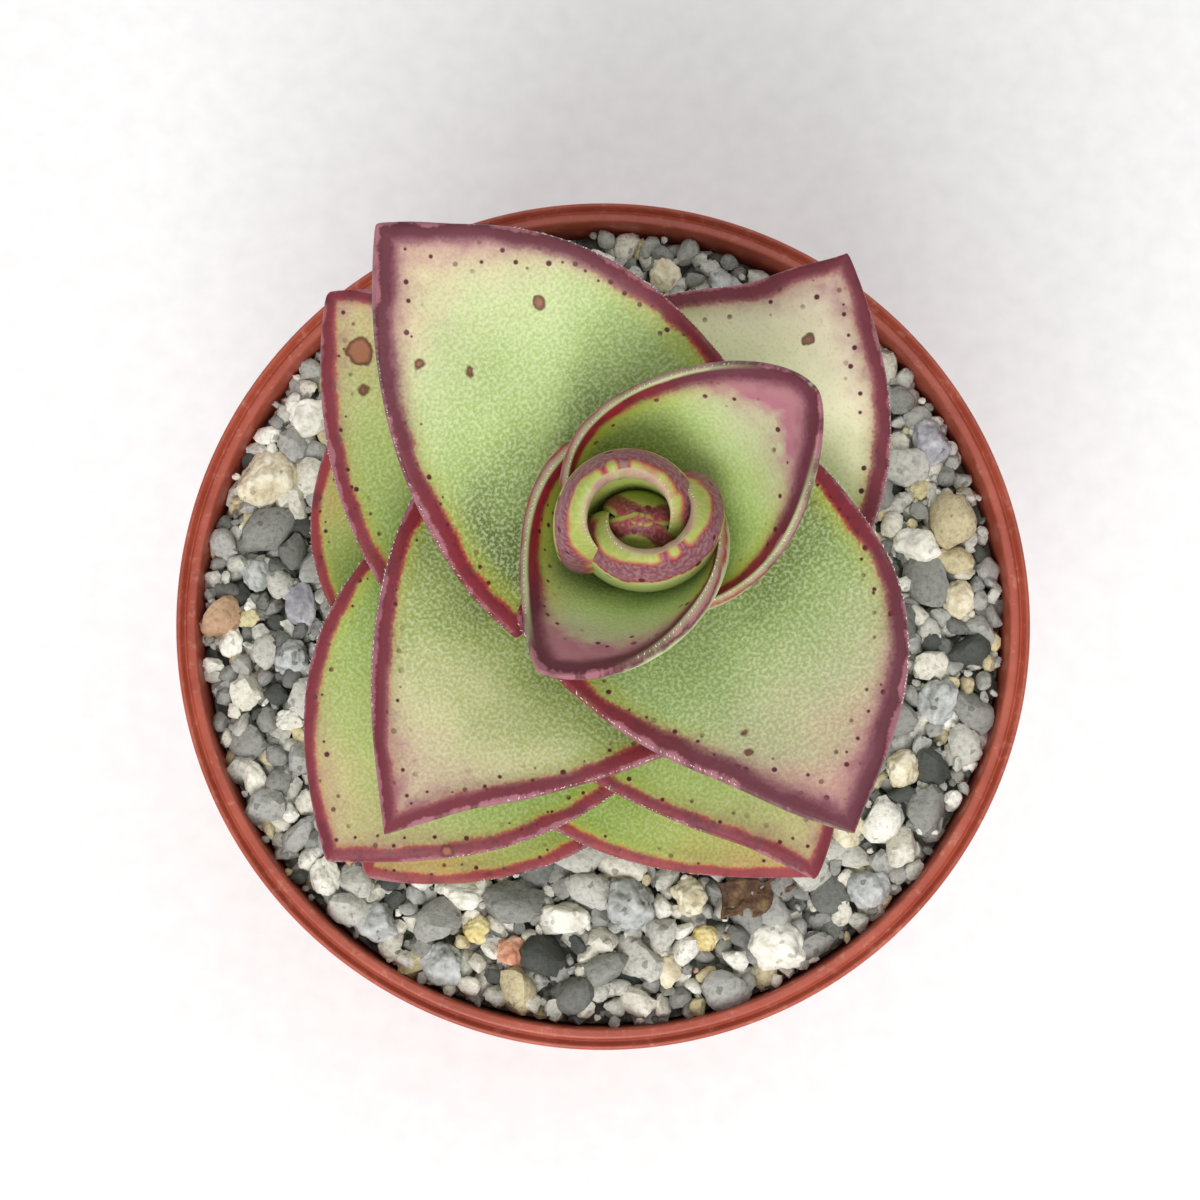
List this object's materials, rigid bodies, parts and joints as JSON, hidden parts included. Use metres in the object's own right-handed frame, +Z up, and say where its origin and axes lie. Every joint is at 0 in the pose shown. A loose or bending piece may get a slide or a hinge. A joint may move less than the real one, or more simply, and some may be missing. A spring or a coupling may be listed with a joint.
{
  "type": "potted succulent",
  "caption": "Stacked red-edged succulent with broad pointed leaves in a small round plastic nursery pot topped with pale grit.",
  "frame": {"origin": "middle of the pot's foot, on the surface the pot stands on", "axes": "+Z up; +Y towards the far side of the pot as pictured, +X to its right"},
  "size_m": [0.085, 0.085, 0.1239],
  "materials": {
    "pot_plastic": "terracotta-coloured injection-moulded plastic, satin",
    "grit": "loose pumice and granite grit, matte, grey gaps",
    "stem": "fleshy green-brown stem, matte",
    "dry_leaf": "withered brown leaf, matte",
    "young_leaf": "waxy yellow-green with purple-red margins, satin",
    "leaf": "waxy pale green with a fine papillate grain and crimson margins, satin",
    "pebble_white": "white pumice, matte",
    "pebble_cream": "cream pumice, matte",
    "pebble_grey": "grey granite, matte",
    "pebble_pink": "orange-pink feldspar, matte",
    "pebble_lilac": "grey-lilac quartz, slightly glossy",
    "pebble_yellow": "pale yellow pumice, matte"
  },
  "bodies": {
    "root": {"dry_leaf": "dry_leaf", "leaf_a1": "young_leaf", "leaf_a2": "young_leaf", "leaf_b1": "young_leaf", "leaf_b2": "young_leaf", "leaf_c1": "young_leaf", "leaf_c2": "young_leaf", "leaf_d1": "leaf", "leaf_d2": "leaf", "leaf_e1": "leaf", "leaf_e2": "leaf", "leaf_f1": "leaf", "leaf_f2": "leaf", "leaf_g1": "leaf", "leaf_g2": "leaf", "leaf_h1": "leaf", "leaf_h2": "leaf", "leaf_i1": "leaf", "leaf_i2": "leaf", "pebble_cream_1": "pebble_cream", "pebble_cream_2": "pebble_cream", "pebble_cream_3": "pebble_cream", "pebble_cream_4": "pebble_cream", "pebble_cream_5": "pebble_cream", "pebble_cream_6": "pebble_cream", "pebble_cream_7": "pebble_cream", "pebble_grey_1": "pebble_grey", "pebble_grey_2": "pebble_grey", "pebble_grey_3": "pebble_grey", "pebble_grey_4": "pebble_grey", "pebble_grey_5": "pebble_grey", "pebble_grey_6": "pebble_grey", "pebble_grey_7": "pebble_grey", "pebble_grey_8": "pebble_grey", "pebble_lilac_1": "pebble_lilac", "pebble_lilac_2": "pebble_lilac", "pebble_pink_1": "pebble_pink", "pebble_white_1": "pebble_white", "pebble_white_10": "pebble_white", "pebble_white_2": "pebble_white", "pebble_white_3": "pebble_white", "pebble_white_4": "pebble_white", "pebble_white_5": "pebble_white", "pebble_white_6": "pebble_white", "pebble_white_7": "pebble_white", "pebble_white_8": "pebble_white", "pebble_white_9": "pebble_white", "pebble_yellow_1": "pebble_yellow", "pebble_yellow_2": "pebble_yellow", "pot": "pot_plastic", "stem": "stem", "substrate": "grit"}
  },
  "joints": []
}
